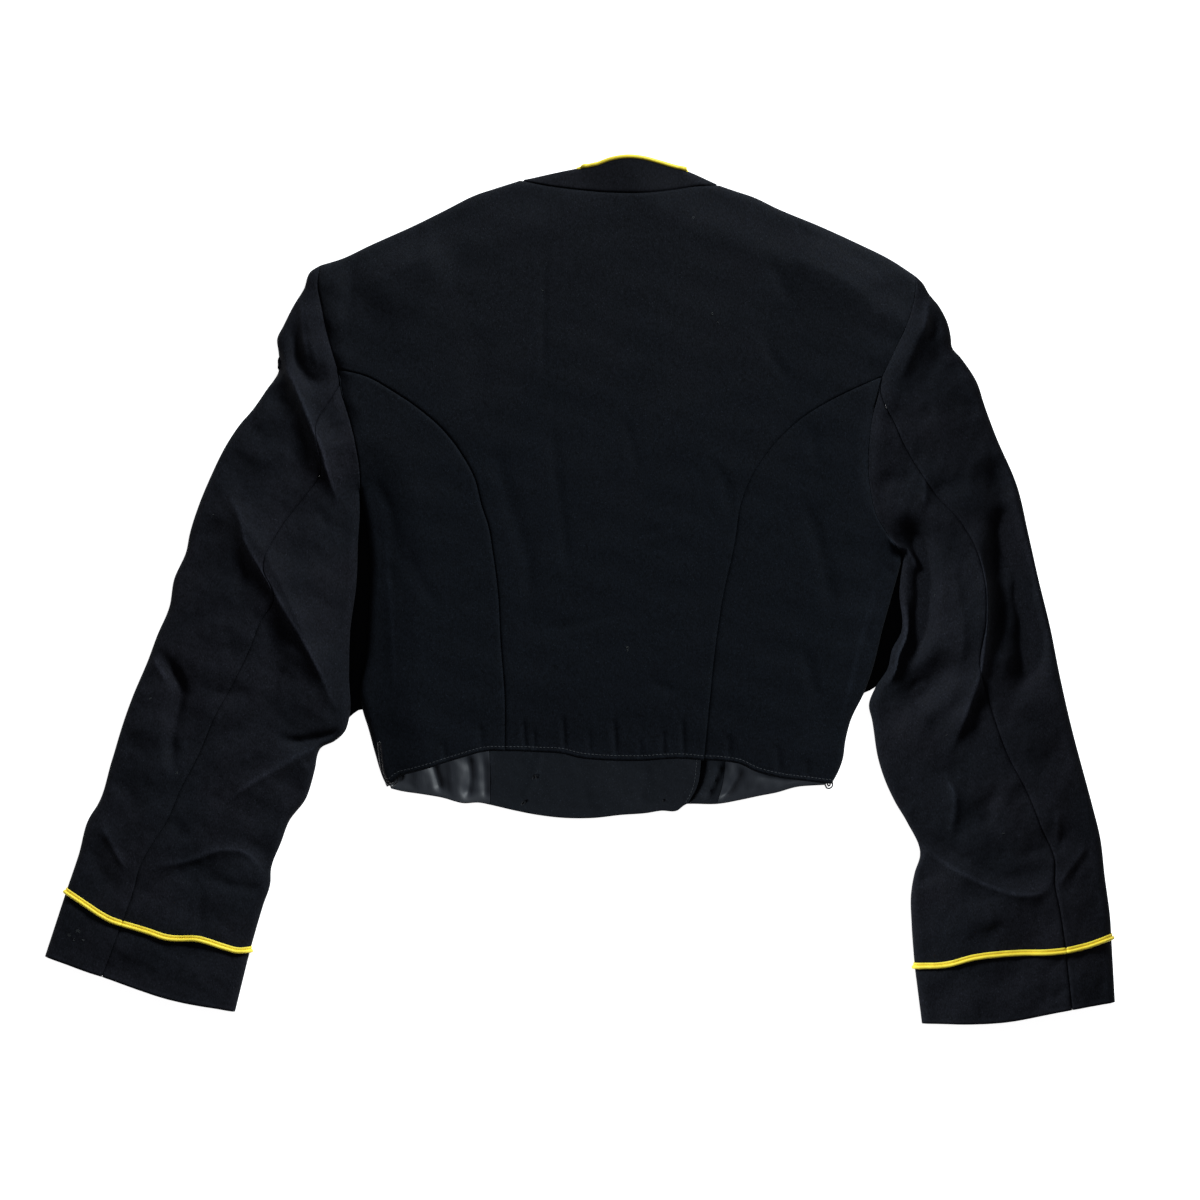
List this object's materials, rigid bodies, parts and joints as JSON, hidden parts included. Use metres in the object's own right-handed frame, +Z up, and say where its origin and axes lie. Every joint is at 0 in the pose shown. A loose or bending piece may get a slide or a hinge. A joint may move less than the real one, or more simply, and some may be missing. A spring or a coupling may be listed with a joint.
{
  "type": "mess dress jacket",
  "caption": "Waist-length formal jacket laid flat with its back up: curved back seams, stand collar, yellow cord on collar and cuffs, satin lining and wire belt hooks at the hem.",
  "frame": {"origin": "centre of the bounding box, on the surface the jacket lies on", "axes": "+X towards the wearer's right sleeve, +Y from hem to collar, +Z up from the surface, out of the jacket's back"},
  "size_m": [0.879, 0.7092, 0.0227],
  "materials": {
    "wool": "matte barathea weave, nearly black",
    "facing": "matte, black",
    "lining": "satin, charcoal",
    "braid": "twisted cord, bright yellow",
    "hook": "glossy black enamel"
  },
  "bodies": {
    "root": {"back": "wool", "side_back_left": "wool", "side_back_right": "wool", "top_sleeve_left": "wool", "under_sleeve_left": "wool", "top_sleeve_right": "wool", "under_sleeve_right": "wool", "collar": "wool", "front_left": "wool", "front_right": "wool", "facing_left": "facing", "facing_right": "facing", "lining_left": "lining", "lining_right": "lining", "collar_piping": "braid", "cuff_piping_top_left": "braid", "cuff_piping_under_left": "braid", "cuff_piping_top_right": "braid", "cuff_piping_under_right": "braid", "hook_left": "hook", "hook_right": "hook"}
  },
  "joints": []
}
